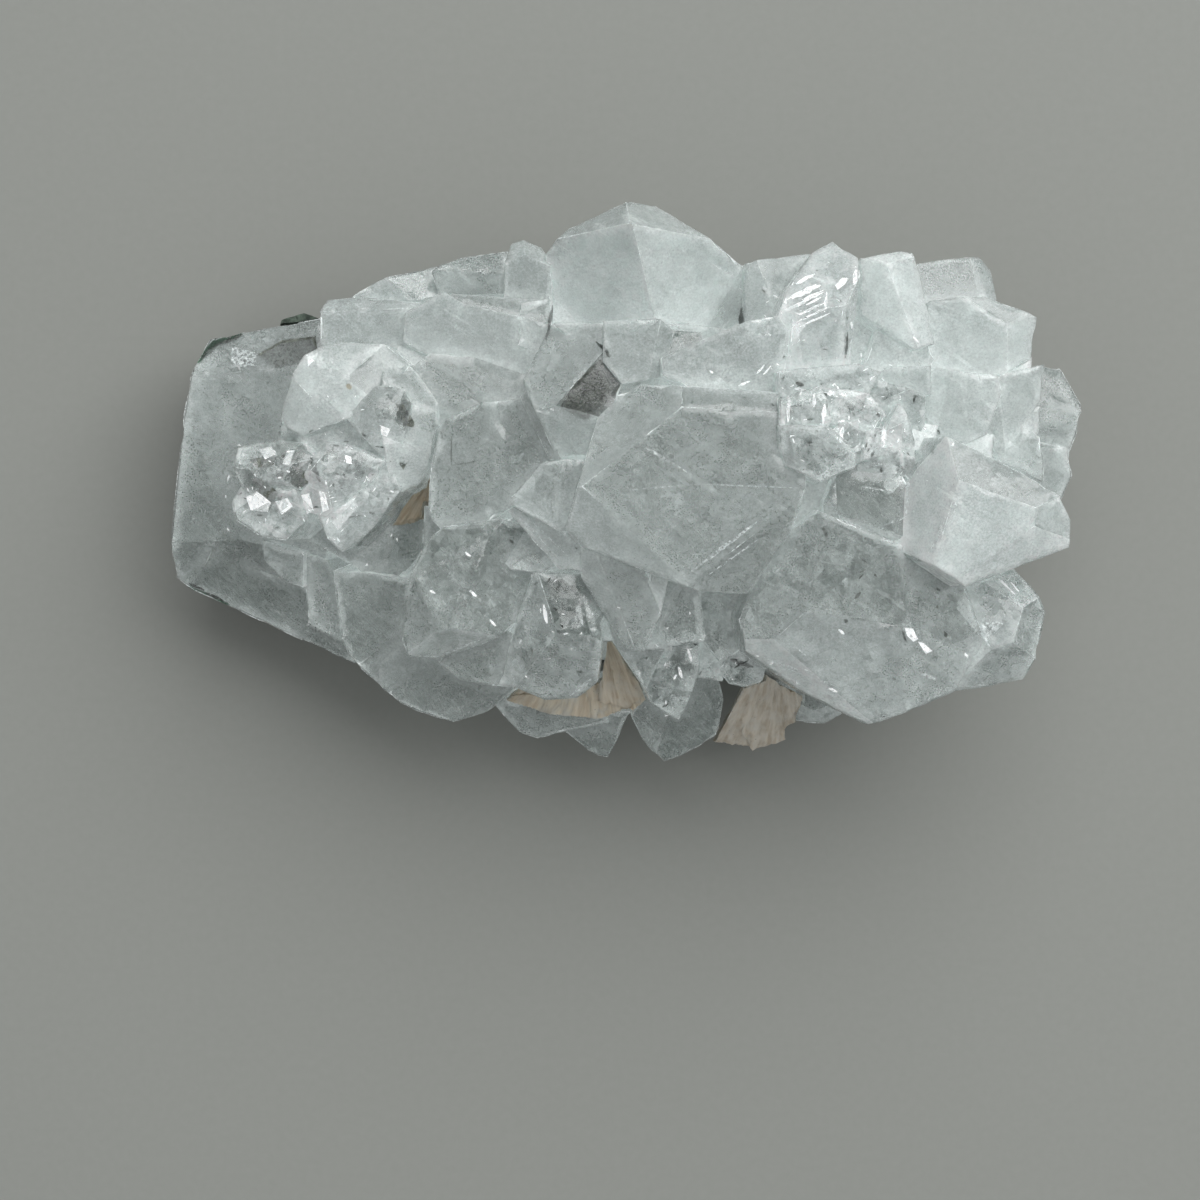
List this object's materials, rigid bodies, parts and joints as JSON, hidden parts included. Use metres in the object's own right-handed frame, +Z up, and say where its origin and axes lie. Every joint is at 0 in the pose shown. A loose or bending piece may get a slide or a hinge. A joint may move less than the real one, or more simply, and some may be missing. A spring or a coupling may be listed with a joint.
{
  "type": "apophyllite cluster",
  "caption": "Cluster of intergrown pale aqua apophyllite crystals on a thin piece of dark green rock, with small brown stilbite fans in its gaps; a mineral specimen for display.",
  "frame": {"origin": "middle of the overall box, on the plane that the rock rests on", "axes": "+Z up, from the rock towards the crystals' tops; +X along the length, from the broken slab at the west end towards the pale crust at the east end; +Y towards the tall pointed north crystal"},
  "size_m": [0.1014, 0.0606, 0.0428],
  "materials": {
    "apophyllite": "glassy faces, clear to milky inside, very pale aqua",
    "green_rock": "dull, dark green skin of celadonite on dark grey basalt",
    "stilbite": "pearly, peach-brown, finely ribbed"
  },
  "bodies": {
    "root": {"apophyllite": "apophyllite", "matrix": "green_rock", "stilbite_west": "stilbite", "stilbite_south": "stilbite", "stilbite_southeast": "stilbite"}
  },
  "joints": []
}
